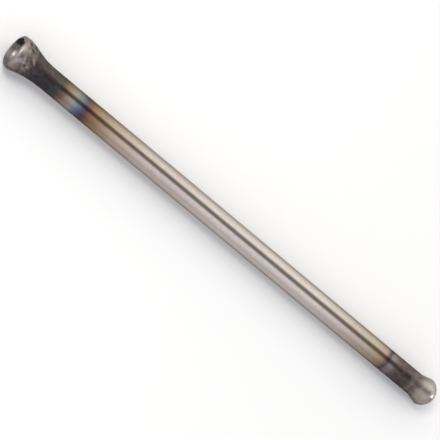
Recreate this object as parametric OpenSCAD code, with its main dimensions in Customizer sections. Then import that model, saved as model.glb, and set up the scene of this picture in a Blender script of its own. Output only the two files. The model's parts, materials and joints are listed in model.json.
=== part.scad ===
// Engine pushrod: one length of steel tube with both ends hot-formed.
// One end is a flared cup with a spherical socket, the other a domed ball end.
// The rod is drawn along +Z from the rim of the cup, and then laid on its side.

/* [Tube] */
// Overall length, from the rim of the cup to the tip of the ball end
rod_length = 237; // [150:1:400]
// Outside diameter of the tube
tube_d = 10; // [8:0.1:11.5]
// Diameter of the bore that carries oil along the tube
bore_d = 6; // [3:0.1:7]

/* [Cup end] */
// Largest diameter of the cup
cup_d = 15; // [14.5:0.1:18]
// Diameter of the socket's mouth at the rim
mouth_d = 12.4; // [11.4:0.1:12.9]
// Outside rounding of the rim
lip_r = 1; // [0.4:0.1:1.2]
// Height of the straight brim, from the rim to where the flare begins
brim_h = 3.2; // [2:0.1:6]
// Half angle of the flare between the brim and the tube
flare_angle = 14; // [10:0.5:18]
// Radius of the hollow curve that runs the flare out into the tube
flare_blend_r = 45; // [20:1:50]
// Radius of the spherical seat in the cup
socket_r = 5.5; // [4.5:0.1:6]
// Depth of the seat's centre below the rim
socket_centre_h = 0.5; // [0:0.1:1.5]

/* [Ball end] */
// Radius of the spherical dome that turns in its seat
ball_r = 6.35; // [6.25:0.05:8]
// Largest diameter of the ball end, behind the dome
head_d = 12.4; // [11.6:0.1:12.6]
// Rounding of the edge between the dome and the neck
head_edge_r = 1.5; // [0.8:0.1:2]
// Half angle of the neck between the tube and the ball end
neck_angle = 14; // [10:0.5:20]
// Radius of the hollow curve between the tube and the neck
neck_blend_r = 6; // [2:0.5:10]
// Diameter of the oil hole in the tip
tip_hole_d = 2.5; // [1.5:0.1:2.9]
// Length over which the bore closes down to the oil hole
closing_l = 5; // [3:0.5:8]

/* [Hidden] */
$fn = 96;

// Each arc is drawn this much past its tangent size, so that it meets its neighbour in one clean edge
tangent_overlap = 0.001;

tube_r = tube_d / 2;
bore_r = bore_d / 2;
cup_r = cup_d / 2;
mouth_r = mouth_d / 2;
head_r = head_d / 2;
tip_hole_r = tip_hole_d / 2;

// The flare: a cone from the brim that runs out into the tube along a hollow arc
flare_arc_r = tube_r + flare_blend_r * (1 - cos(flare_angle));
flare_arc_z = brim_h + (cup_r - flare_arc_r) / tan(flare_angle);
flare_end_z = flare_arc_z + flare_blend_r * sin(flare_angle);

// The socket: a spherical seat with a conical lead-in that touches it from the mouth's edge
lead_in_angle = acos(socket_r / norm([mouth_r, socket_centre_h])) - atan(socket_centre_h / mouth_r);
seat_edge_r = socket_r * cos(lead_in_angle);
seat_edge_z = socket_centre_h + socket_r * sin(lead_in_angle);

// The ball end: a hollow arc out of the tube, a conical neck, a rounded edge and a dome
ball_z = rod_length - ball_r;
edge_centre_r = head_r - head_edge_r;
edge_centre_z = ball_z + sqrt(pow(ball_r - head_edge_r, 2) - pow(edge_centre_r, 2));
dome_share = ball_r / (ball_r - head_edge_r);
dome_edge_r = edge_centre_r * dome_share;
dome_edge_z = ball_z + (edge_centre_z - ball_z) * dome_share;
neck_top_r = edge_centre_r + head_edge_r * cos(neck_angle);
neck_top_z = edge_centre_z - head_edge_r * sin(neck_angle);
neck_arc_r = tube_r + neck_blend_r * (1 - cos(neck_angle));
neck_arc_z = neck_top_z - (neck_top_r - neck_arc_r) / tan(neck_angle);
neck_end_z = neck_arc_z - neck_blend_r * sin(neck_angle);

// Lying down: the brim and the edge of the ball end touch the surface, so the axis slopes a little
touch_run = edge_centre_z - brim_h;
touch_drop = cup_r - edge_centre_r;
rest_slope = atan(touch_drop / touch_run) - asin(head_edge_r / norm([touch_run, touch_drop]));
rest_height = brim_h * sin(rest_slope) + cup_r * cos(rest_slope);

// Half outline of the cup's outside, from the rim to the tube
module cup_outline() {
    square([cup_r - lip_r, brim_h]);
    translate([cup_r - lip_r, lip_r])
        circle(lip_r);
    translate([0, lip_r])
        square([cup_r, brim_h - lip_r]);
    difference() {
        polygon([
            [0, brim_h],
            [cup_r, brim_h],
            [flare_arc_r, flare_arc_z],
            [tube_r, flare_end_z],
            [0, flare_end_z]
        ]);
        translate([tube_r + flare_blend_r, flare_end_z])
            circle(flare_blend_r + tangent_overlap);
    }
}

// Half outline of the ball end's outside, from the tube to the tip
module ball_outline() {
    difference() {
        polygon([
            [0, neck_end_z],
            [tube_r, neck_end_z],
            [neck_arc_r, neck_arc_z],
            [neck_top_r, neck_top_z],
            [edge_centre_r, edge_centre_z],
            [dome_edge_r, dome_edge_z],
            [0, dome_edge_z]
        ]);
        translate([tube_r + neck_blend_r, neck_end_z])
            circle(neck_blend_r + tangent_overlap);
    }
    translate([edge_centre_r, edge_centre_z])
        circle(head_edge_r + tangent_overlap);
    intersection() {
        translate([0, ball_z])
            circle(ball_r);
        translate([0, dome_edge_z])
            square(ball_r);
    }
}

// Half outline of the spherical socket and its lead-in
module socket_outline() {
    polygon([
        [0, 0],
        [mouth_r, 0],
        [seat_edge_r, seat_edge_z],
        [0, seat_edge_z]
    ]);
    intersection() {
        translate([0, socket_centre_h])
            circle(socket_r + tangent_overlap);
        square([mouth_r, socket_centre_h + 2 * socket_r]);
    }
}

// Half outline of the oil way: the bore, its closing cone and the hole in the tip
module oil_way_outline() {
    square([bore_r, neck_end_z]);
    polygon([
        [0, neck_end_z],
        [bore_r, neck_end_z],
        [tip_hole_r, neck_end_z + closing_l],
        [0, neck_end_z + closing_l]
    ]);
    square([tip_hole_r, rod_length]);
}

// The rod along +Z, with the rim of its cup on the XY plane
module formed_tube() {
    rotate_extrude()
        difference() {
            union() {
                cup_outline();
                translate([0, brim_h])
                    square([tube_r, ball_z - brim_h]);
                ball_outline();
            }
            socket_outline();
            oil_way_outline();
        }
}

// The rod at rest on its side, cup towards -X, over the middle of its length
module pushrod() {
    color("silver")
        translate([-rod_length / 2 * cos(rest_slope), 0, rest_height])
            rotate([0, 90 + rest_slope, 0])
                formed_tube();
}

pushrod();
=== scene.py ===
import json
from collections import namedtuple
from math import acos, atan2, cos, exp, pi, radians, sin, tan

import bpy
from mathutils import Matrix, Vector, noise


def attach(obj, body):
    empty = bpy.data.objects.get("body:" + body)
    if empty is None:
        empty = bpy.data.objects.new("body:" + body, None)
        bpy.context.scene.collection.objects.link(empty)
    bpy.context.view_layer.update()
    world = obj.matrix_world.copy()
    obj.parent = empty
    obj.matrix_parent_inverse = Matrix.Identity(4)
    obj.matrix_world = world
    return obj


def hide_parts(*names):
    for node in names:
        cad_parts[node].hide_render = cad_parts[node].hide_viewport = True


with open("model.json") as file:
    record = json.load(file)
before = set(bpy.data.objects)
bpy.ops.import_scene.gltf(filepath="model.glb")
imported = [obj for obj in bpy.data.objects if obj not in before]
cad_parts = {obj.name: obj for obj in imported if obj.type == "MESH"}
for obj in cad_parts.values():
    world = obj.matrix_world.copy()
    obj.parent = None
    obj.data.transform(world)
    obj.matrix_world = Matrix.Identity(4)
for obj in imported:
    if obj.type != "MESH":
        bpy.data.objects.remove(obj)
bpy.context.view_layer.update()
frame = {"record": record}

# The rod's own sizes, in millimetres, as the solid has them
MM = 0.001
ROD_LENGTH = 237.0
TUBE_R = 5.0
BORE_R = 3.0
CUP_R = 7.5
MOUTH_R = 6.2
LIP_R = 1.0
BRIM_H = 3.2
FLARE_ANGLE = radians(14)
FLARE_BLEND_R = 45.0
SOCKET_CENTRE_H = 0.5
HEAD_R = 6.2
HEAD_EDGE_R = 1.5
NECK_ANGLE = radians(14)
NECK_BLEND_R = 6.0
TIP_HOLE_R = 1.25
CLOSING_L = 5.0

# Small roundings that the solid leaves sharp, and the slope of the lead-in next to the mouth's edge
MOUTH_EDGE_R = 0.15
BRIM_EDGE_R = 3.0
TIP_BREAK = 0.2
LEAD_IN_SLOPE = (-1.0, 2.4)

# The socket and the dome take their radius and the rod takes its lie from the record's mounts
MOUNTS = {mount["name"]: mount for mount in frame["record"]["mounts"]}
SOCKET_R = MOUNTS["cup_socket"]["dims"]["r_mm"]
BALL_R = MOUNTS["ball_end"]["dims"]["r_mm"]
AXIS = Vector(MOUNTS["ball_end"]["axis"]).normalized()
MOUTH = Vector(MOUNTS["cup_socket"]["pos_m"]) - AXIS * SOCKET_CENTRE_H * MM
SIDE = Vector((0, 1, 0))
TOP = AXIS.cross(SIDE)

# Fineness of the mesh: steps round the rod, and along it on the ends, the tube and the bore
AROUND = 192
END_STEP = 0.18
TUBE_STEP = 2.0
BORE_STEP = 12.0
CUP_END_TO = 20.0
BALL_END_FROM = 212.0
ARC_FEWEST = 8

# Marks: place along the rod in millimetres and round it in degrees from the top, half length and half
# width, slant in degrees, and depth in millimetres or strength. Past a few half sizes it isn't reckoned
Mark = namedtuple("Mark", "along turn length width slant depth")
MARK_ENDS = 3

# Forging dents, which hold dark scale
DENTS = [
    Mark(4.8, 21, 1.9, 0.55, -17, 0.13),
    Mark(3.1, 37, 0.9, 1.00, -20, 0.14),
    Mark(5.8, 43, 1.0, 0.60, -20, 0.14),
    Mark(8.8, 34, 1.4, 0.50, -12, 0.08),
    Mark(5.0, -7, 0.8, 0.80, 0, 0.08),
    Mark(7.5, -16, 1.4, 0.45, -33, 0.14),
    Mark(1.8, -23, 1.7, 0.70, 56, 0.09),
    Mark(5.6, -36, 0.8, 0.70, 0, 0.11),
    Mark(8.0, -48, 0.9, 0.60, -30, 0.09),
    Mark(9.2, -38, 1.2, 0.60, -30, 0.09),
    Mark(3.7, -78, 1.4, 0.70, 0, 0.07),
    Mark(8.0, -70, 1.0, 0.50, -20, 0.06),
    Mark(0.9, -84, 0.6, 0.80, 0, 0.14),
    Mark(6.2, 100, 1.8, 0.50, 20, 0.10),
    Mark(3.6, 135, 0.9, 0.60, -25, 0.09),
    Mark(7.4, 160, 1.6, 0.50, 15, 0.09),
    Mark(4.6, -150, 1.3, 0.55, -30, 0.10),
    Mark(6.9, -115, 1.5, 0.50, 25, 0.09),
    Mark(215.0, -13, 1.2, 0.60, 0, 0.12),
    Mark(219.8, -11, 1.4, 0.90, -6, 0.15),
    Mark(216.6, -12, 0.9, 0.70, 10, 0.08),
    Mark(212.8, -11, 0.8, 0.60, 0, 0.06),
    Mark(220.8, -42, 1.0, 0.60, 30, 0.05),
    Mark(216.4, 150, 1.4, 0.70, 10, 0.07),
    Mark(220.2, 95, 1.2, 0.60, -15, 0.06),
    Mark(234.3, -30, 0.7, 0.60, 0, 0.08),
]

# Scuffs, where the scale has come off down to bright metal. Those on the near top of the lip, at 0.3 and
# 1.3 mm, are also painted highlights
SCUFFS_AND_SHEEN = [
    Mark(1.3, 6, 1.1, 1.1, 0, 0.55),
    Mark(0.3, -8, 0.7, 2.6, 0, 0.60),
    Mark(7.7, -6, 1.3, 0.36, -38, 0.55),
    Mark(4.4, 46, 1.0, 0.40, -20, 0.40),
    Mark(6.2, -53, 0.8, 0.50, 0, 0.30),
    Mark(7.2, -39, 0.8, 0.45, -20, 0.35),
    Mark(2.6, -3, 0.9, 0.80, 0, 0.25),
    Mark(1.6, -50, 0.9, 1.00, 0, 0.15),
    Mark(1.5, 120, 1.2, 1.40, 0, 0.50),
    Mark(4.9, 150, 1.3, 0.40, 30, 0.40),
    Mark(1.8, -140, 1.1, 1.20, 0, 0.45),
    Mark(5.8, -170, 1.2, 0.40, -35, 0.40),
]

# Unevenness of the forging on the flare and the neck, in millimetres. A stretch is given by where it
# starts and where it is full
FLARE_STARTS = (0.8, 3.8)
FLARE_ENDS = (15.0, 8.0)
FLARE_COARSE = 0.10
FLARE_FINE = 0.05
NECK_AT = 225.0
NECK_REACH = 5.0
NECK_COARSE = 0.03
COARSE_SCALE = 0.42
FINE_SHIFT = Vector((7, 3, 5))

# The flare bulges to one side, and a little all round
BULGE = 0.38
BULGE_AT = 7.5
BULGE_REACH = 4.5
BULGE_TURN = radians(70)
BULGE_ALL_ROUND = 0.25

# Slanting lines run round the flare, broken into patches
LINES_START = (1.5, 3.5)
LINES_END = (11.0, 8.0)
LINE_DEPTH = 0.05
LINE_TWIST = 0.18
LINE_STRETCH = 0.5
LINE_SCALE = 0.6
FINE_LINE_SCALE = 1.3
FINE_LINE_SHARE = 0.5
FINE_LINE_SHIFT = Vector((5, 2, 8))
PATCH_SCALE = 0.4
PATCH_SHIFT = Vector((2, 9, 4))
PATCH_MEAN = 0.6
PATCH_SWING = 1.2

# The rim is worn low at one place
RIM_WEAR = 1.25
RIM_WEAR_TURN = radians(-108)
RIM_WEAR_SPREAD = radians(34)
RIM_WEAR_REACH = 3.0


def turn_between(first, second):
    """The angle from one direction to another, from -pi to pi."""
    return (second - first + pi) % (2 * pi) - pi


def arc(centre, radius, start, end):
    """Points of an arc in the (radius, height) plane, from one angle to another."""
    steps = max(ARC_FEWEST, round(radius * abs(end - start) / END_STEP))
    angles = [start + (end - start) * i / steps for i in range(steps + 1)]
    return [(centre[0] + radius * cos(a), centre[1] + radius * sin(a)) for a in angles]


def rounded(before, corner, after, radius):
    """The arc that rounds a corner between two straight runs."""
    corner = Vector(corner)
    back = (Vector(before) - corner).normalized()
    ahead = (Vector(after) - corner).normalized()
    half = back.angle(ahead) / 2
    centre = corner + (back + ahead).normalized() * radius / sin(half)
    first = corner + back * radius / tan(half) - centre
    last = corner + ahead * radius / tan(half) - centre
    start = atan2(first.y, first.x)
    turn = turn_between(start, atan2(last.y, last.x))
    return arc(centre, radius, start, start + turn)


def cup_outside():
    """Outline of the rim, the brim and the flare, from the mouth to the tube."""
    lead_in = (MOUTH_R + LEAD_IN_SLOPE[0], LEAD_IN_SLOPE[1])
    mouth = (MOUTH_R, 0)
    lip = (CUP_R, 0)
    brim = (CUP_R, BRIM_H)
    meet = (TUBE_R, BRIM_H + (CUP_R - TUBE_R) / tan(FLARE_ANGLE))
    tube = (TUBE_R, ROD_LENGTH / 2)
    return (
        rounded(lead_in, mouth, lip, MOUTH_EDGE_R)
        + rounded(mouth, lip, brim, LIP_R)
        + rounded(lip, brim, meet, BRIM_EDGE_R)
        + rounded(brim, meet, tube, FLARE_BLEND_R)
    )


def ball_outside():
    """Outline of the neck, the rounded edge and the dome, and the height where the neck begins."""
    ball_z = ROD_LENGTH - BALL_R
    edge_r = HEAD_R - HEAD_EDGE_R
    edge_angle = acos(edge_r / (BALL_R - HEAD_EDGE_R))
    edge = (edge_r, ball_z + (BALL_R - HEAD_EDGE_R) * sin(edge_angle))
    neck_top = (edge_r + HEAD_EDGE_R * cos(NECK_ANGLE), edge[1] - HEAD_EDGE_R * sin(NECK_ANGLE))
    meet = (TUBE_R, neck_top[1] - (neck_top[0] - TUBE_R) / tan(NECK_ANGLE))
    neck = rounded((TUBE_R, ROD_LENGTH / 2), meet, neck_top, NECK_BLEND_R)
    tip_angle = acos((TIP_HOLE_R + TIP_BREAK) / BALL_R)
    outline = (
        neck
        + arc(edge, HEAD_EDGE_R, -NECK_ANGLE, edge_angle)
        + arc((0, ball_z), BALL_R, edge_angle, tip_angle)[1:]
    )
    return outline, neck[0][1]


def oil_way(neck_z):
    """Outline of the inside, from the hole in the tip back to the socket's mouth."""
    tip_z = ROD_LENGTH - 2 * TIP_BREAK
    seat = (0, SOCKET_CENTRE_H)
    mouth_reach = Vector((MOUTH_R, SOCKET_CENTRE_H)).length
    lead_in_angle = acos(SOCKET_R / mouth_reach) - atan2(SOCKET_CENTRE_H, MOUTH_R)
    bore_angle = acos(BORE_R / SOCKET_R)
    return [
        (TIP_HOLE_R, tip_z),
        (TIP_HOLE_R, neck_z + CLOSING_L),
        (BORE_R, neck_z),
    ] + arc(seat, SOCKET_R, bore_angle, lead_in_angle)


def stepped(points):
    """The closed outline with its long straight runs cut into steps that suit each stretch."""
    cut = []
    for here, there in zip(points, points[1:] + points[:1]):
        middle = (here[1] + there[1]) / 2
        plain = CUP_END_TO < middle < BALL_END_FROM
        bore = here[0] <= BORE_R and there[0] <= BORE_R
        step = BORE_STEP if bore else TUBE_STEP if plain else END_STEP
        a, b = Vector(here), Vector(there)
        steps = max(1, round((b - a).length / step))
        cut += [a.lerp(b, i / steps) for i in range(steps)]
    return cut


def marks_at(marks, r, z, turn):
    """How deep or strong a list of marks is at one place on the outside."""
    total = 0.0
    for mark in marks:
        ahead = z - mark.along
        if abs(ahead) > MARK_ENDS * max(mark.length, mark.width):
            continue
        aside = r * turn_between(radians(mark.turn), turn)
        lean = radians(mark.slant)
        long = (ahead * cos(lean) + aside * sin(lean)) / mark.length
        wide = (aside * cos(lean) - ahead * sin(lean)) / mark.width
        total += mark.depth * exp(-long * long - wide * wide)
    return total


def ease(value, start, full):
    """How far a value has come from the start of a stretch to where it is full, from 0 to 1."""
    return max(0.0, min(1.0, (value - start) / (full - start)))


def hump(value, middle, reach):
    """A smooth hump that is 1 at its middle and dies away past its reach."""
    return exp(-(((value - middle) / reach) ** 2))


def on_outside(r, z, turn):
    """A place on the outside, in the rod's own millimetres."""
    return Vector((z, r * cos(turn), r * sin(turn)))


def unevenness(r, z, turn):
    """How far the forging has left the outside proud of its true form, in millimetres."""
    place = on_outside(r, z, turn)
    coarse = noise.noise(place * COARSE_SCALE)
    fine = noise.noise(place + FINE_SHIFT)
    flare = ease(z, *FLARE_ENDS) * ease(z, *FLARE_STARTS)
    rough = FLARE_COARSE * coarse + FLARE_FINE * fine + LINE_DEPTH * forging_lines(r, z, turn)
    one_sided = BULGE_ALL_ROUND + (1 - BULGE_ALL_ROUND) * cos(turn_between(BULGE_TURN, turn))
    bulge = BULGE * hump(z, BULGE_AT, BULGE_REACH) * one_sided
    return flare * rough + bulge + hump(z, NECK_AT, NECK_REACH) * NECK_COARSE * coarse


def forging_lines(r, z, turn):
    """The broken slanting lines on the flare: below zero in hollows and above it on ridges."""
    fade = ease(z, *LINES_END) * ease(z, *LINES_START)
    if fade == 0.0:
        return 0.0
    patch = noise.noise(on_outside(r, z, turn) * PATCH_SCALE + PATCH_SHIFT)
    slanted = on_outside(r, LINE_STRETCH * z, turn + LINE_TWIST * z)
    lines = noise.noise(slanted * LINE_SCALE)
    lines += FINE_LINE_SHARE * noise.noise(slanted * FINE_LINE_SCALE + FINE_LINE_SHIFT)
    return fade * lines * max(0.0, PATCH_MEAN + PATCH_SWING * patch)


def rim_wear(z, turn):
    """How far the rim is worn down at one place, in millimetres."""
    around = hump(turn_between(RIM_WEAR_TURN, turn), 0, RIM_WEAR_SPREAD)
    return RIM_WEAR * around * ease(z, RIM_WEAR_REACH, 0)


def lathe(outline, outside_count):
    """The rod's mesh: the closed outline turned round the axis, with forging marks on the outside."""
    verts = []
    facts = {"inside": [], "dented": [], "scuff_and_sheen": [], "lined": []}
    for index, (r, z) in enumerate(outline):
        outside = index < outside_count
        for k in range(AROUND):
            turn = 2 * pi * k / AROUND
            dent = marks_at(DENTS, r, z, turn) if outside else 0.0
            reach = r - dent + unevenness(r, z, turn) if outside else r
            around = TOP * cos(turn) + SIDE * sin(turn)
            verts.append(MOUTH + (AXIS * (z + rim_wear(z, turn)) + around * reach) * MM)
            facts["inside"].append(0.0 if outside else 1.0)
            facts["dented"].append(dent)
            facts["scuff_and_sheen"].append(marks_at(SCUFFS_AND_SHEEN, r, z, turn) if outside else 0.0)
            facts["lined"].append(forging_lines(r, z, turn) if outside else 0.0)
    rings = len(outline)
    faces = []
    for i in range(rings):
        j = (i + 1) % rings
        for k in range(AROUND):
            n = (k + 1) % AROUND
            faces.append((i * AROUND + k, j * AROUND + k, j * AROUND + n, i * AROUND + n))
    return verts, faces, facts


def make_rod():
    """The pushrod in one piece."""
    cup = cup_outside()
    ball, neck_z = ball_outside()
    tube = [(TUBE_R, z) for z in (CUP_END_TO, BALL_END_FROM)]
    outer = cup + tube + ball
    inner = oil_way(neck_z)
    whole = stepped(outer + inner)
    tip = min(range(len(whole)), key=lambda i: (Vector(inner[0]) - whole[i]).length)
    verts, faces, facts = lathe(whole, tip)
    mesh = bpy.data.meshes.new("formed_pushrod")
    mesh.from_pydata(verts, [], faces)
    for name, values in facts.items():
        mesh.attributes.new(name, "FLOAT", "POINT").data.foreach_set("value", values)
    mesh.polygons.foreach_set("use_smooth", [True] * len(mesh.polygons))
    mesh.validate()
    rod = bpy.data.objects.new("formed_pushrod", mesh)
    bpy.context.collection.objects.link(rod)
    return rod


# Helpers that build shader nodes, with the range that noise mostly keeps to and the places of the Mix
# node's colour sockets
NOISE_SPAN = (0.3, 0.7)
FIRST_COLOUR = 6
SECOND_COLOUR = 7
MIXED_COLOUR = 2


def node(tree, kind, **settings):
    """One shader node with its plain settings."""
    made = tree.nodes.new(kind)
    for name, value in settings.items():
        setattr(made, name, value)
    return made


def feed(tree, socket, value):
    """Links a socket to an output, or sets it to a plain value."""
    if isinstance(value, bpy.types.NodeSocket):
        tree.links.new(value, socket)
    else:
        socket.default_value = value


def calc(tree, operation, *values):
    """A Math node's result."""
    made = node(tree, "ShaderNodeMath", operation=operation)
    for socket, value in zip(made.inputs, values):
        feed(tree, socket, value)
    return made.outputs[0]


def product(tree, first, *others):
    """Values multiplied together."""
    for other in others:
        first = calc(tree, "MULTIPLY", first, other)
    return first


def dot(tree, vector, direction):
    """How far a vector reaches along a direction."""
    made = node(tree, "ShaderNodeVectorMath", operation="DOT_PRODUCT")
    feed(tree, made.inputs[0], vector)
    feed(tree, made.inputs[1], direction)
    return made.outputs["Value"]


def remap(tree, value, from_low, from_high, low=0.0, high=1.0, smooth=True):
    """A value carried from one range to another, and held at its ends."""
    kind = "SMOOTHSTEP" if smooth else "LINEAR"
    made = node(tree, "ShaderNodeMapRange", interpolation_type=kind)
    for socket, given in zip(made.inputs[:5], (value, from_low, from_high, low, high)):
        feed(tree, socket, given)
    return made.outputs[0]


def between(tree, share, first, second):
    """A value that goes evenly from one to another as a share goes from 0 to 1."""
    return remap(tree, share, 0, 1, first, second, smooth=False)


def swing(tree, noise_value, low, high):
    """Noise carried evenly from the range that it mostly keeps to into another."""
    return remap(tree, noise_value, *NOISE_SPAN, low, high, smooth=False)


def rgba(colour):
    """A colour as a shader socket takes it."""
    return (*colour, 1.0)


def mix(tree, factor, first, second, blend="MIX"):
    """Two colours mixed."""
    made = node(tree, "ShaderNodeMix", data_type="RGBA", blend_type=blend)
    feed(tree, made.inputs["Factor"], factor)
    feed(tree, made.inputs[FIRST_COLOUR], first)
    feed(tree, made.inputs[SECOND_COLOUR], second)
    return made.outputs[MIXED_COLOUR]


def shaded(tree, colour, factor):
    """A colour made darker or lighter by a factor."""
    return mix(tree, 1.0, colour, factor, "MULTIPLY")


def ramp(tree, value, stops):
    """A colour ramp from (place, colour) stops, whose colours may carry a strength as well."""
    made = node(tree, "ShaderNodeValToRGB")
    elements = made.color_ramp.elements
    while len(elements) < len(stops):
        elements.new(1.0)
    for element, (place, colour) in zip(elements, stops):
        element.position = place
        element.color = (*colour, 1.0)[:4]
    feed(tree, made.inputs[0], value)
    return made.outputs


def grain(tree, place, scale, detail=3.0, stretch=(1, 1, 1), shift=(0, 0, 0)):
    """Noise from 0 to 1 over the rod's own millimetres, drawn out along its axes."""
    moved = node(tree, "ShaderNodeMapping", vector_type="POINT")
    feed(tree, moved.inputs["Vector"], place)
    moved.inputs["Location"].default_value = shift
    moved.inputs["Scale"].default_value = stretch
    made = node(tree, "ShaderNodeTexNoise")
    feed(tree, made.inputs["Vector"], moved.outputs[0])
    made.inputs["Scale"].default_value = scale
    made.inputs["Detail"].default_value = detail
    return made.outputs["Fac"]


# Temper and scale colours as the steel shows them in plain white light, and colours that paint light and
# shade on the lip and in the socket
BARE = (0.445, 0.40, 0.372)
WARM = (0.405, 0.345, 0.31)
STRAW = (0.345, 0.27, 0.205)
PALE_STRAW = (0.335, 0.28, 0.235)
DARK_STRAW = (0.255, 0.18, 0.12)
BROWN = (0.175, 0.098, 0.063)
PLUM = (0.10, 0.054, 0.055)
PURPLE = (0.067, 0.047, 0.068)
VIOLET = (0.069, 0.069, 0.11)
BLUE = (0.09, 0.13, 0.162)
PALE_BLUE = (0.155, 0.177, 0.185)
PALE_GREY = (0.24, 0.213, 0.185)
TAN = (0.215, 0.15, 0.103)
RUSSET = (0.115, 0.077, 0.057)
SLATE = (0.047, 0.047, 0.05)
SCALE_BLACK = (0.029, 0.025, 0.027)
SCALE_PURPLE = (0.037, 0.028, 0.033)
SCALE_BROWN = (0.052, 0.04, 0.037)
OLIVE = (0.275, 0.235, 0.17)
PINK_BROWN = (0.215, 0.143, 0.10)
PURPLE_LINE = (0.072, 0.044, 0.054)
LAVENDER = (0.148, 0.122, 0.135)
MAUVE = (0.15, 0.118, 0.118)
NECK_GREY = (0.112, 0.104, 0.09)
NECK_BROWN = (0.088, 0.066, 0.06)
NECK_DARK = (0.067, 0.051, 0.047)
BALL_SHADE = (0.11, 0.094, 0.084)
BALL_GREY = (0.245, 0.212, 0.18)
BALL_PALE = (0.28, 0.252, 0.232)
FLAKED = (0.245, 0.217, 0.208)
HALF_FLAKED = (0.116, 0.098, 0.09)
# Bright metal of the scuffs, which on the near top of the lip also paints a highlight
SCUFF_AND_SHEEN = (0.43, 0.40, 0.365)
LIP = (0.235, 0.205, 0.2)
# Painted shade: the lip's colour on its near underside
SHADED_LIP = (0.135, 0.13, 0.125)
# The socket's colours, which paint light and shade in it, and the seat's lighter colour, partly a painted
# highlight
SOCKET_DULL = (0.125, 0.115, 0.112)
SOCKET_LIT_PINK = (0.19, 0.155, 0.16)
SOCKET_STAIN = (0.06, 0.058, 0.054)
SOCKET_GREY = (0.12, 0.116, 0.108)
SEAT = (0.23, 0.215, 0.21)
# Painted shade: black for the socket's back and for the lip's inner edge there
SHADE_BLACK = (0.022, 0.020, 0.018)

# Where each colour lies, in millimetres from the rim of the cup and from the tip of the ball end
CUP_TEMPER = [
    (1.5, FLAKED),
    (5, HALF_FLAKED),
    (7.2, HALF_FLAKED),
    (8.8, SCALE_BROWN),
    (12, SCALE_PURPLE),
    (16, SCALE_BLACK),
    (20, SCALE_BLACK),
    (23.8, SLATE),
    (25.7, RUSSET),
    (27.6, TAN),
    (31.3, PALE_GREY),
    (33.3, PALE_BLUE),
    (34.7, BLUE),
    (36, VIOLET),
    (37.5, PURPLE),
    (39, PLUM),
    (42, BROWN),
    (47, DARK_STRAW),
    (54, STRAW),
    (70, WARM),
    (115, BARE),
]
BALL_TEMPER = [
    (4.5, BALL_PALE),
    (7.5, BALL_GREY),
    (8.6, BALL_GREY),
    (11, BALL_SHADE),
    (12.2, NECK_BROWN),
    (13.5, NECK_GREY),
    (15.5, SCALE_BROWN),
    (18.5, SCALE_BROWN),
    (22, NECK_DARK),
    (24, NECK_BROWN),
    (25.4, MAUVE),
    (26.5, LAVENDER),
    (27.3, LAVENDER),
    (28.35, PURPLE_LINE),
    (29.4, RUSSET),
    (31.1, PINK_BROWN),
    (36, OLIVE),
    (43, PALE_STRAW),
    (54, WARM),
    (70, BARE),
]

# Where the cup end's colours pass into the ball end's, in millimetres from the rim
TO_BALL = (117, 119)

# The socket's painted light and shade, in millimetres from its front to its back, which lies a little
# above the side: lighter and pinkish on the front wall where light falls, black at the back where shade
# falls, with a darker band between
SHADE_TURN = radians(20)
SOCKET_LIGHT_AND_SHADE = [
    (1.9, SOCKET_DULL),
    (2.9, SOCKET_LIT_PINK),
    (3.8, SOCKET_LIT_PINK),
    (5.4, SOCKET_GREY),
    (6.1, SOCKET_GREY),
    (6.8, SOCKET_STAIN),
    (7.5, SOCKET_GREY),
    (8.9, SOCKET_GREY),
    (9.8, SHADE_BLACK),
]

# Unevenness of the socket's painted light and shade, in millimetres, and where the seat's lighter colour,
# partly a painted highlight, stops, from its front
SOCKET_UNEVEN = 0.5
SOCKET_GRAIN = 0.6
SOCKET_SHIFT = (3, 9, 1)
SEAT_SHINE = (8.0, 6.2)

# The side that got the most heat. Its lee side starts and is full at these shares of the tube's radius
HOT_TURN = radians(-60)
LEE_SIDE = (0.85, 0.3)

# How far the colours lag, in millimetres: at the cup end on the lee side, over a stretch along the rod,
# and at the ball end on the far side, which starts and is full at shares of the tube's radius
CUP_LAG = 2.5
CUP_LAG_OVER = (36, 42)
BALL_LAG = 0.6
FAR_SIDE = (0.3, 0.75)

# How far the colours wander, in millimetres, and the share of it at the ball end
WANDER = 0.8
WANDER_GRAIN = 0.2
BALL_WANDER_SHARE = 0.15

# The near underside, from and to this turn, where the colour of the ends and of the lip is darkened:
# painted shade
UNDER_FROM = radians(-75)
UNDER_TO = radians(-165)
UNDER_SOFT = radians(12)
UNDER_SHADE = 0.6

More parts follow.
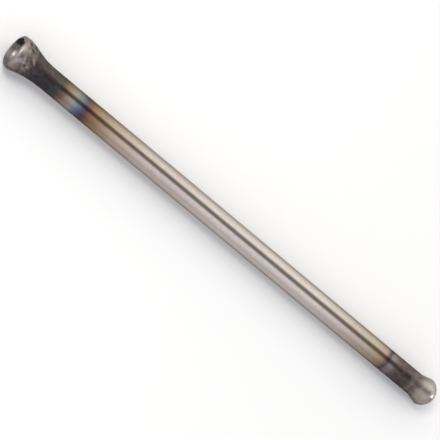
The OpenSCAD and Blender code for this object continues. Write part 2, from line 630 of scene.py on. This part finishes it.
# The lighter film on the lee side: millimetres from the rim, colour and strength
FILM_BROWN = (0.24, 0.19, 0.155)
FILM_TAN = (0.24, 0.18, 0.13)
FILM_OLIVE = (0.19, 0.175, 0.09)
FILM_CREAM = (0.48, 0.44, 0.36)
FILM_SALMON = (0.45, 0.33, 0.305)
FILM_BLUE = (0.17, 0.178, 0.176)
FILM_PINK = (0.40, 0.352, 0.34)
FILM_MAUVE = (0.215, 0.17, 0.175)
LEE_FILM = [
    (7, (*FILM_BROWN, 0.0)),
    (10, (*FILM_BROWN, 0.16)),
    (18, (*FILM_BROWN, 0.20)),
    (24, (*FILM_BROWN, 0.12)),
    (27, (*FILM_TAN, 0.25)),
    (31, (*FILM_TAN, 0.22)),
    (33.5, (*FILM_OLIVE, 0.35)),
    (36, (*FILM_TAN, 0.22)),
    (46, (*FILM_TAN, 0.25)),
    (56, (*FILM_TAN, 0.0)),
    (180, (*FILM_CREAM, 0.0)),
    (190, (*FILM_CREAM, 0.15)),
    (196, (*FILM_CREAM, 0.17)),
    (198.5, (*FILM_CREAM, 0.28)),
    (201.5, (*FILM_CREAM, 0.30)),
    (203.5, (*FILM_SALMON, 0.42)),
    (206.7, (*FILM_SALMON, 0.42)),
    (208, (*FILM_BLUE, 0.05)),
    (208.8, (*FILM_BLUE, 0.10)),
    (210, (*FILM_BLUE, 0.55)),
    (212, (*FILM_BROWN, 0.2)),
    (217, (*FILM_MAUVE, 0.24)),
    (226, (*FILM_MAUVE, 0.24)),
    (230, (*FILM_PINK, 0.7)),
    (237, (*FILM_PINK, 0.75)),
]

# The lip's tint and the painted shade on its inner edge at the back, in millimetres along the rod and
# towards the shaded side: each range is from where it starts to where it is full
LIP_TINT = (1.5, 0.6)
EDGE_SHADE_STARTS = (3.0, 4.6)
EDGE_SHADE_ENDS = (5.9, 5.0)
EDGE_SHADE_ALONG = (0.45, 0.1)

# Scale in the dents: from and to these depths in millimetres, and from and to these strengths
DENT_SCALE = (0.01, 0.12, 0.0, 0.8)

# Where each finish starts and where it is full, in millimetres from the rim
CUP_SCALE = (26, 21)
BALL_SCALE = (211, 215)
DOME = (226, 229)
WORN_LIP = (1.3, 0.6)
GROUND_SEAT = (1.6, 2.4)
Zones = namedtuple("Zones", "formed dome lip seat inside")

# What each finish is like: scale is dull and only partly metallic, the lip and the seat are worn bright
Finish = namedtuple("Finish", "metallic roughness")
SCALE_FINISH = Finish(0.65, 0.38)
DOME_FINISH = Finish(0.75, 0.28)
LIP_FINISH = Finish(0.8, 0.33)
WALL_FINISH = Finish(0.4, 0.5)
SEAT_FINISH = Finish(0.9, 0.35)
TUBE_METALLIC = 1.0
TUBE_ROUGHNESS = (0.18, 0.24)
SPECULAR_LEVEL = 0.25
SPECULAR_TINT = (0.5, 0.48, 0.46, 1.0)

# Blotches, strong in the scale and faint on the rest
BLOTCH_GRAIN = 0.7
BLOTCH_SHIFT = (31, 7, 3)
TUBE_BLOTCH = 0.05
SCALE_BLOTCH = 0.3
DOME_BLOTCH = 0.12

# The forging lines' shade, from their hollows to their ridges
LINE_SPAN = (-0.6, 0.6)
LINE_SHADE = (0.55, 1.45)

# Fine streaks along the drawn tube
STREAK_GRAIN = 1.0
STREAK_STRETCH = (0.02, 2.5, 2.5)
STREAK_SPAN = (0.2, 0.8)
STREAK_SHADE = (0.94, 1.06)

# Pits: their depth in millimetres, and their strength on the tube and in the scale
PIT_GRAIN = 2.2
PIT_DEPTH = 0.12
PIT_STRENGTH = (0.02, 0.35)


def rod_place(tree):
    """A point's place in the rod's own millimetres, from the rim, to the far side and to the top."""
    offset = node(tree, "ShaderNodeVectorMath", operation="SUBTRACT")
    feed(tree, offset.inputs[0], node(tree, "ShaderNodeTexCoord").outputs["Object"])
    feed(tree, offset.inputs[1], MOUTH)
    parts = [dot(tree, offset.outputs[0], direction / MM) for direction in (AXIS, SIDE, TOP)]
    place = node(tree, "ShaderNodeCombineXYZ")
    for socket, part in zip(place.inputs, parts):
        feed(tree, socket, part)
    return place.outputs[0], parts[0]


def fact(tree, name):
    """A value that the mesh carries."""
    return node(tree, "ShaderNodeAttribute", attribute_name=name).outputs["Fac"]


def lee_side(tree, place):
    """How far a place lies on the side that got less heat, from 0 to 1."""
    towards_heat = dot(tree, place, (0, sin(HOT_TURN) / TUBE_R, cos(HOT_TURN) / TUBE_R))
    return remap(tree, towards_heat, *LEE_SIDE)


def underside(tree, place):
    """How far a place lies on the near underside, from 0 to 1."""
    turn = calc(tree, "ARCTAN2", dot(tree, place, (0, 1, 0)), dot(tree, place, (0, 0, 1)))
    past = remap(tree, turn, UNDER_FROM + UNDER_SOFT, UNDER_FROM - UNDER_SOFT)
    before = remap(tree, turn, UNDER_TO - UNDER_SOFT, UNDER_TO + UNDER_SOFT)
    return product(tree, past, before)


def towards_shade(tree, place):
    """How far a place lies from the axis towards the side where shade is painted, in millimetres."""
    return dot(tree, place, (0, cos(SHADE_TURN), sin(SHADE_TURN)))


def by_millimetre(tree, distance, stops):
    """A ramp whose stops lie at distances in millimetres."""
    reach = stops[-1][0]
    shares = [(z / reach, colour) for z, colour in stops]
    return ramp(tree, calc(tree, "DIVIDE", distance, reach), shares)


def heat_colour(tree, place, along, lee):
    """The temper colours, whose fronts wander a little and lag on the sides that got less heat."""
    at_ball = remap(tree, along, *TO_BALL)
    wander = swing(tree, grain(tree, place, WANDER_GRAIN, detail=2), -WANDER, WANDER)
    cup_lag = product(tree, lee, remap(tree, along, *CUP_LAG_OVER, 0, CUP_LAG))
    from_rim = calc(tree, "ADD", calc(tree, "ADD", along, wander), cup_lag)
    far = remap(tree, dot(tree, place, (0, 1 / TUBE_R, 0)), *FAR_SIDE)
    lagging = calc(tree, "SUBTRACT", along, product(tree, far, at_ball, BALL_LAG))
    from_tip = calc(tree, "SUBTRACT", ROD_LENGTH, lagging)
    from_tip = calc(tree, "MULTIPLY_ADD", wander, BALL_WANDER_SHARE, from_tip)
    cup_colour = by_millimetre(tree, from_rim, CUP_TEMPER)[0]
    ball_colour = by_millimetre(tree, from_tip, BALL_TEMPER)[0]
    film, strength = by_millimetre(tree, lagging, LEE_FILM)
    colour = mix(tree, at_ball, cup_colour, ball_colour)
    return mix(tree, product(tree, strength, lee), colour, film)


def marked_colour(tree, under, place, along, colour):
    """The worn lip with painted shade on its near underside and over its inner edge at the back, the
    scuffs, some of which paint the lip's highlight, and the dents.
    """
    # Painted shade: the lip darker on its near underside
    lip = mix(tree, under, rgba(LIP), rgba(SHADED_LIP))
    colour = mix(tree, remap(tree, along, *LIP_TINT), colour, lip)
    # Scuffs, some of which are painted highlights on the lip
    colour = mix(tree, fact(tree, "scuff_and_sheen"), colour, rgba(SCUFF_AND_SHEEN))
    # Painted shade: black over the lip's inner edge at the back
    towards = towards_shade(tree, place)
    edge_shade = product(
        tree,
        remap(tree, towards, *EDGE_SHADE_STARTS),
        remap(tree, towards, *EDGE_SHADE_ENDS),
        remap(tree, along, *EDGE_SHADE_ALONG),
    )
    colour = mix(tree, edge_shade, colour, rgba(SHADE_BLACK))
    in_dents = remap(tree, fact(tree, "dented"), *DENT_SCALE)
    return mix(tree, in_dents, colour, rgba(SCALE_BLACK))


def socket_colour(tree, place, seat):
    """The socket with painted light and shade: dull and pinkish in front, black at the back, and a ground
    seat for the ball whose lighter colour, kept to the front, is partly a painted highlight.
    """
    blotch = grain(tree, place, SOCKET_GRAIN, detail=3, shift=SOCKET_SHIFT)
    uneven = swing(tree, blotch, -SOCKET_UNEVEN, SOCKET_UNEVEN)
    # Painted light and shade: lighter on the front wall, black at the back
    from_front = calc(tree, "ADD", calc(tree, "ADD", towards_shade(tree, place), MOUTH_R), uneven)
    wall = by_millimetre(tree, from_front, SOCKET_LIGHT_AND_SHADE)[0]
    # The seat's lighter colour is kept to its front, where the lamp's highlight falls: partly a painted
    # highlight
    shine = product(tree, seat, remap(tree, from_front, *SEAT_SHINE))
    return mix(tree, shine, wall, rgba(SEAT))


def find_zones(tree, along):
    """How far a place lies in each finish, from 0 to 1."""
    return Zones(
        formed=calc(tree, "MAXIMUM", remap(tree, along, *CUP_SCALE), remap(tree, along, *BALL_SCALE)),
        dome=remap(tree, along, *DOME),
        lip=remap(tree, along, *WORN_LIP),
        seat=remap(tree, along, *GROUND_SEAT),
        inside=fact(tree, "inside"),
    )


def blotched(tree, place, zones, colour):
    """A colour with lighter and darker blotches."""
    blotch = grain(tree, place, BLOTCH_GRAIN, detail=4, shift=BLOTCH_SHIFT)
    depth = between(tree, zones.formed, TUBE_BLOTCH, SCALE_BLOTCH)
    depth = between(tree, zones.dome, depth, DOME_BLOTCH)
    low = calc(tree, "SUBTRACT", 1, depth)
    high = calc(tree, "ADD", 1, depth)
    return shaded(tree, colour, swing(tree, blotch, low, high))


def steel_colour(tree, place, along, zones, streak):
    """The whole colour, from the temper colours outside to the painted light and shade of the socket."""
    under = underside(tree, place)
    # Painted shade: the formed ends darker on their near underside
    under_shade = between(tree, product(tree, under, zones.formed), 1, UNDER_SHADE)
    colour = heat_colour(tree, place, along, lee_side(tree, place))
    colour = blotched(tree, place, zones, colour)
    colour = shaded(tree, colour, remap(tree, fact(tree, "lined"), *LINE_SPAN, *LINE_SHADE, smooth=False))
    colour = shaded(tree, colour, under_shade)
    colour = marked_colour(tree, under, place, along, colour)
    colour = shaded(tree, colour, remap(tree, streak, *STREAK_SPAN, *STREAK_SHADE, smooth=False))
    return mix(tree, zones.inside, colour, socket_colour(tree, place, zones.seat))


def set_finish(tree, shader, zones, streak):
    """How metallic and how rough each place is."""
    metal = TUBE_METALLIC
    rough = remap(tree, streak, *STREAK_SPAN, *TUBE_ROUGHNESS, smooth=False)
    outside = [(zones.formed, SCALE_FINISH), (zones.dome, DOME_FINISH), (zones.lip, LIP_FINISH)]
    for zone, finish in outside:
        metal = between(tree, zone, metal, finish.metallic)
        rough = between(tree, zone, rough, finish.roughness)
    socket_metal = remap(tree, zones.seat, 0, 1, WALL_FINISH.metallic, SEAT_FINISH.metallic)
    socket_rough = remap(tree, zones.seat, 0, 1, WALL_FINISH.roughness, SEAT_FINISH.roughness)
    feed(tree, shader.inputs["Metallic"], between(tree, zones.inside, metal, socket_metal))
    feed(tree, shader.inputs["Roughness"], between(tree, zones.inside, rough, socket_rough))
    shader.inputs["Specular IOR Level"].default_value = SPECULAR_LEVEL
    shader.inputs["Specular Tint"].default_value = SPECULAR_TINT


def pitted(tree, place, formed):
    """A surface with pits, which are deep in the scale."""
    bump = node(tree, "ShaderNodeBump")
    bump.inputs["Distance"].default_value = PIT_DEPTH * MM
    feed(tree, bump.inputs["Height"], grain(tree, place, PIT_GRAIN, detail=4))
    feed(tree, bump.inputs["Strength"], between(tree, formed, *PIT_STRENGTH))
    return bump.outputs[0]


def steel():
    """Drawn steel with temper colours, forging scale on both formed ends and a fine drawn grain."""
    made = bpy.data.materials.new("formed_steel")
    made.use_nodes = True
    tree = made.node_tree
    shader = tree.nodes["Principled BSDF"]
    place, along = rod_place(tree)
    zones = find_zones(tree, along)
    streak = grain(tree, place, STREAK_GRAIN, detail=2, stretch=STREAK_STRETCH)
    feed(tree, shader.inputs["Base Color"], steel_colour(tree, place, along, zones, streak))
    feed(tree, shader.inputs["Normal"], pitted(tree, place, zones.formed))
    set_finish(tree, shader, zones, streak)
    return made


# The picture: the photograph's size and lens in pixels, the point of the rod that is aimed at, in
# millimetres from the rim, in pixels and in metres from the lens, and how the rod lies
PICTURE_PX = 440
SENSOR_MM = 36.0
FOCAL_PX = 4088
AIM_ALONG = 108.9
AIM_PX = (211.0, 214.4)
AIM_DISTANCE = 1.665
LEAN = radians(20.2)
SLANT = radians(39.81)
STAND_FORWARD = radians(20)


def make_camera():
    """A long lens above the rod's front, with the cup end nearer."""
    away = -TOP * cos(STAND_FORWARD) + SIDE * sin(STAND_FORWARD)
    look = AXIS * sin(LEAN) + away * cos(LEAN)
    run = (AXIS - look * AXIS.dot(look)).normalized()
    across = run.cross(look)
    right = run * cos(SLANT) + across * sin(SLANT)
    up = across * cos(SLANT) - run * sin(SLANT)
    off_x = (AIM_PX[0] - PICTURE_PX / 2) / FOCAL_PX * AIM_DISTANCE
    off_y = (PICTURE_PX / 2 - AIM_PX[1]) / FOCAL_PX * AIM_DISTANCE
    aim = MOUTH + AXIS * AIM_ALONG * MM
    data = bpy.data.cameras.new("camera")
    data.sensor_width = SENSOR_MM
    data.lens = FOCAL_PX / PICTURE_PX * SENSOR_MM
    camera = bpy.data.objects.new("camera", data)
    turn = Matrix((right, up, -look)).transposed().to_4x4()
    stand = aim - look * AIM_DISTANCE - right * off_x - up * off_y
    camera.matrix_world = Matrix.Translation(stand) @ turn
    bpy.context.collection.objects.link(camera)
    bpy.context.scene.camera = camera


# The floor, which is pale and has no gloss, in metres
FLOOR_HALF = 12.0
FLOOR_COLOUR = (0.72, 0.72, 0.717, 1.0)
FLOOR_GLOSS = 0.0

# A white tent all round, with one dark gap overhead, along the rod
TENT_BACK = (1.70, 1.68, 1.62)
TENT_FRONT = (1.42, 1.42, 1.50)
TENT_GAP = (0.29, 0.28, 0.27)

# The gap's edges, as angles from straight up, how far they are softened, and its ranges: it widens and
# fades as a direction turns along the rod, and starts and is full as the direction rises
GAP_FROM = radians(-20.5)
GAP_TO = radians(16)
GAP_SOFT = radians(9)
GAP_WIDER = (0.33, 0.43, 0.0, radians(5))
GAP_FADE = (0.45, 0.9, 1.0, 0.4)
GAP_RISE = (0.08, 0.25)

# The tent's strength: full from a height on, less low down at the front and at the back, where it grows
# as a direction turns along the rod, and passing at the horizon into one haze
FULL_HEIGHT = 0.7
LOW_FRONT_SHARE = 0.6
LOW_BACK_SHARE = (0.2, 0.42, 0.48, 0.82)
FRONT_TO_BACK = (-0.3, 0.3)
HORIZON_SHARE = 0.51
HAZE_HEIGHT = 0.06

# Two lamps: one over the cup end, and a small one far beyond the ball end, which shows in gloss only.
# Distances and sizes are in metres
Lamp = namedtuple("Lamp", "name towards distance size watts gloss_only")
LAMPS = [
    Lamp("cup_lamp", (-0.5, 0.06, 0.86), 1.3, 0.5, 6.5, False),
    Lamp("tip_lamp", (1.0, 0.096, 0.053), 4.0, 0.25, 38, True),
]


def make_lamps():
    """Round soft lamps that look at the rod."""
    for lamp in LAMPS:
        data = bpy.data.lights.new(lamp.name, "AREA")
        data.shape = "DISK"
        data.size = lamp.size
        data.energy = lamp.watts
        made = bpy.data.objects.new(lamp.name, data)
        towards = Vector(lamp.towards).normalized()
        made.location = towards * lamp.distance
        made.rotation_euler = towards.to_track_quat("Z", "Y").to_euler()
        made.visible_diffuse = not lamp.gloss_only
        bpy.context.collection.objects.link(made)


def make_floor():
    """A plain pale floor."""
    corners = [(FLOOR_HALF * x, FLOOR_HALF * y, 0) for x, y in ((-1, -1), (1, -1), (1, 1), (-1, 1))]
    mesh = bpy.data.meshes.new("floor")
    mesh.from_pydata(corners, [], [(0, 1, 2, 3)])
    floor = bpy.data.objects.new("floor", mesh)
    bpy.context.collection.objects.link(floor)
    paint = bpy.data.materials.new("floor_paint")
    paint.use_nodes = True
    shader = paint.node_tree.nodes["Principled BSDF"]
    shader.inputs["Base Color"].default_value = FLOOR_COLOUR
    shader.inputs["Specular IOR Level"].default_value = FLOOR_GLOSS
    mesh.materials.append(paint)


def tent_gap(tree, along, across, up):
    """How far a direction looks into the dark gap, from 0 to 1."""
    side = calc(tree, "ARCTAN2", across, up)
    narrowed = calc(tree, "SUBTRACT", side, remap(tree, along, *GAP_WIDER))
    return product(
        tree,
        remap(tree, narrowed, GAP_TO + GAP_SOFT, GAP_TO - GAP_SOFT),
        remap(tree, side, GAP_FROM - GAP_SOFT, GAP_FROM + GAP_SOFT),
        remap(tree, along, *GAP_FADE),
        remap(tree, up, *GAP_RISE),
    )


def tent_strength(tree, along, across, up):
    """How strong the tent's light is in a direction."""
    low_back = remap(tree, along, *LOW_BACK_SHARE)
    low = remap(tree, across, *FRONT_TO_BACK, LOW_FRONT_SHARE, low_back)
    share = remap(tree, up, 0, FULL_HEIGHT, low, 1, smooth=False)
    return remap(tree, up, 0, HAZE_HEIGHT, HORIZON_SHARE, share)


def make_tent():
    """White light from all round, apart from the gap overhead."""
    world = bpy.data.worlds.new("tent")
    world.use_nodes = True
    tree = world.node_tree
    background = tree.nodes["Background"]
    split = node(tree, "ShaderNodeSeparateXYZ")
    feed(tree, split.inputs[0], node(tree, "ShaderNodeTexCoord").outputs["Generated"])
    along, across, up = split.outputs
    to_back = remap(tree, across, sin(GAP_FROM), sin(GAP_TO))
    cloth = mix(tree, to_back, rgba(TENT_FRONT), rgba(TENT_BACK))
    colour = mix(tree, tent_gap(tree, along, across, up), cloth, rgba(TENT_GAP))
    feed(tree, background.inputs["Color"], colour)
    feed(tree, background.inputs["Strength"], tent_strength(tree, along, across, up))
    bpy.context.scene.world = world


make_camera()
make_floor()
make_tent()
make_lamps()
rod = make_rod()
rod.data.materials.append(steel())
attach(rod, "root")
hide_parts("pushrod")
bpy.context.scene.view_settings.view_transform = "Standard"
